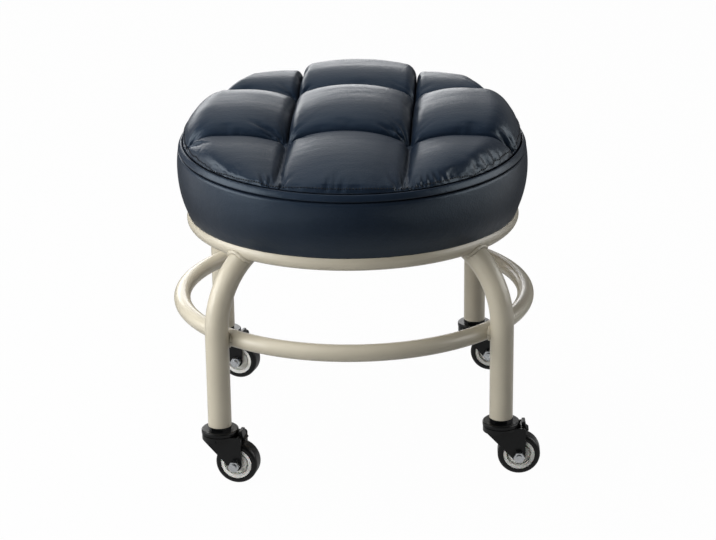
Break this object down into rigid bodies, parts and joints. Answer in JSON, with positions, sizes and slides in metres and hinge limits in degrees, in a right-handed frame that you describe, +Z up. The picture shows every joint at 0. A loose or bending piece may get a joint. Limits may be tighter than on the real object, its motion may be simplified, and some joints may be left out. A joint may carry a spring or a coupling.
{
  "type": "rolling stool",
  "caption": "Low round rolling stool with a puffed, channel-stitched cushion on bent tube legs with a full foot ring and swivel casters.",
  "frame": {"origin": "on the floor, under the middle of the stool", "axes": "+Z up; -Y towards the front of the quilting; the legs stand on the diagonals"},
  "size_m": [0.3524, 0.3524, 0.337],
  "materials": {
    "leatherette": "satin leatherette",
    "foam": "open-cell foam",
    "plywood": "raw plywood",
    "frame_paint": "satin powder coat",
    "black_steel": "satin black coat",
    "zinc_steel": "zinc plated",
    "bearing_steel": "polished",
    "wheel_centre": "moulded, light grey",
    "tyre": "hard black tread"
  },
  "bodies": {
    "frame": {"seat_ring": "frame_paint", "strap_long": "frame_paint", "strap_short": "frame_paint", "foot_ring": "frame_paint", "stem_sockets": "zinc_steel", "leg_front_left": "frame_paint", "leg_front_right": "frame_paint", "leg_rear_left": "frame_paint", "leg_rear_right": "frame_paint", "seat_board": "plywood", "tee_nuts": "zinc_steel", "seat_screws": "zinc_steel", "foam_slab": "foam", "quilted_top": "leatherette", "seam_strip": "leatherette", "side_band": "leatherette", "front_left_stem": "black_steel", "front_left_race": "black_steel", "front_left_balls": "bearing_steel", "front_right_stem": "black_steel", "front_right_race": "black_steel", "front_right_balls": "bearing_steel", "rear_left_stem": "black_steel", "rear_left_race": "black_steel", "rear_left_balls": "bearing_steel", "rear_right_stem": "black_steel", "rear_right_race": "black_steel", "rear_right_balls": "bearing_steel"},
    "front_left_fork": {"front_left_fork": "black_steel", "front_left_axle_bolt": "zinc_steel", "front_left_axle_nut": "zinc_steel", "front_left_axle_sleeve": "zinc_steel", "front_left_brake_pin": "black_steel"},
    "front_left_wheel": {"front_left_hub": "wheel_centre", "front_left_tyre": "tyre"},
    "front_left_brake": {"front_left_brake_lever": "black_steel"},
    "front_right_fork": {"front_right_fork": "black_steel", "front_right_axle_bolt": "zinc_steel", "front_right_axle_nut": "zinc_steel", "front_right_axle_sleeve": "zinc_steel", "front_right_brake_pin": "black_steel"},
    "front_right_wheel": {"front_right_hub": "wheel_centre", "front_right_tyre": "tyre"},
    "front_right_brake": {"front_right_brake_lever": "black_steel"},
    "rear_left_fork": {"rear_left_fork": "black_steel", "rear_left_axle_bolt": "zinc_steel", "rear_left_axle_nut": "zinc_steel", "rear_left_axle_sleeve": "zinc_steel", "rear_left_brake_pin": "black_steel"},
    "rear_left_wheel": {"rear_left_hub": "wheel_centre", "rear_left_tyre": "tyre"},
    "rear_left_brake": {"rear_left_brake_lever": "black_steel"},
    "rear_right_fork": {"rear_right_fork": "black_steel", "rear_right_axle_bolt": "zinc_steel", "rear_right_axle_nut": "zinc_steel", "rear_right_axle_sleeve": "zinc_steel", "rear_right_brake_pin": "black_steel"},
    "rear_right_wheel": {"rear_right_hub": "wheel_centre", "rear_right_tyre": "tyre"},
    "rear_right_brake": {"rear_right_brake_lever": "black_steel"}
  },
  "joints": [
    {"name": "front_left_swivel", "type": "hinge", "parent": "frame", "child": "front_left_fork", "pos_m": [-0.13181, -0.13181, 0.0448], "axis": [0, 0, 1], "continuous": true},
    {"name": "front_left_roll", "type": "hinge", "parent": "front_left_fork", "child": "front_left_wheel", "pos_m": [-0.11546, -0.13649, 0.02], "axis": [0.2756, 0.9613, 0], "continuous": true},
    {"name": "front_left_brake_press", "type": "hinge", "parent": "front_left_fork", "child": "front_left_brake", "pos_m": [-0.11258, -0.13732, 0.0445], "axis": [0.2756, 0.9613, 0], "range_deg": [0, 40]},
    {"name": "front_right_swivel", "type": "hinge", "parent": "frame", "child": "front_right_fork", "pos_m": [0.13181, -0.13181, 0.0448], "axis": [0, 0, 1], "continuous": true},
    {"name": "front_right_roll", "type": "hinge", "parent": "front_right_fork", "child": "front_right_wheel", "pos_m": [0.14874, -0.13329, 0.02], "axis": [0.0872, 0.9962, 0], "continuous": true},
    {"name": "front_right_brake_press", "type": "hinge", "parent": "front_right_fork", "child": "front_right_brake", "pos_m": [0.15173, -0.13355, 0.0445], "axis": [0.0872, 0.9962, 0], "range_deg": [0, 40]},
    {"name": "rear_left_swivel", "type": "hinge", "parent": "frame", "child": "rear_left_fork", "pos_m": [-0.13181, 0.13181, 0.0448], "axis": [0, 0, 1], "continuous": true},
    {"name": "rear_left_roll", "type": "hinge", "parent": "rear_left_fork", "child": "rear_left_wheel", "pos_m": [-0.11583, 0.12599, 0.02], "axis": [0.342, 0.9397, 0], "continuous": true},
    {"name": "rear_left_brake_press", "type": "hinge", "parent": "rear_left_fork", "child": "rear_left_brake", "pos_m": [-0.11301, 0.12496, 0.0445], "axis": [0.342, 0.9397, 0], "range_deg": [0, 40]},
    {"name": "rear_right_swivel", "type": "hinge", "parent": "frame", "child": "rear_right_fork", "pos_m": [0.13181, 0.13181, 0.0448], "axis": [0, 0, 1], "continuous": true},
    {"name": "rear_right_roll", "type": "hinge", "parent": "rear_right_fork", "child": "rear_right_wheel", "pos_m": [0.14843, 0.12827, 0.02], "axis": [0.2079, 0.9781, 0], "continuous": true},
    {"name": "rear_right_brake_press", "type": "hinge", "parent": "rear_right_fork", "child": "rear_right_brake", "pos_m": [0.15137, 0.12765, 0.0445], "axis": [0.2079, 0.9781, 0], "range_deg": [0, 40]}
  ]
}
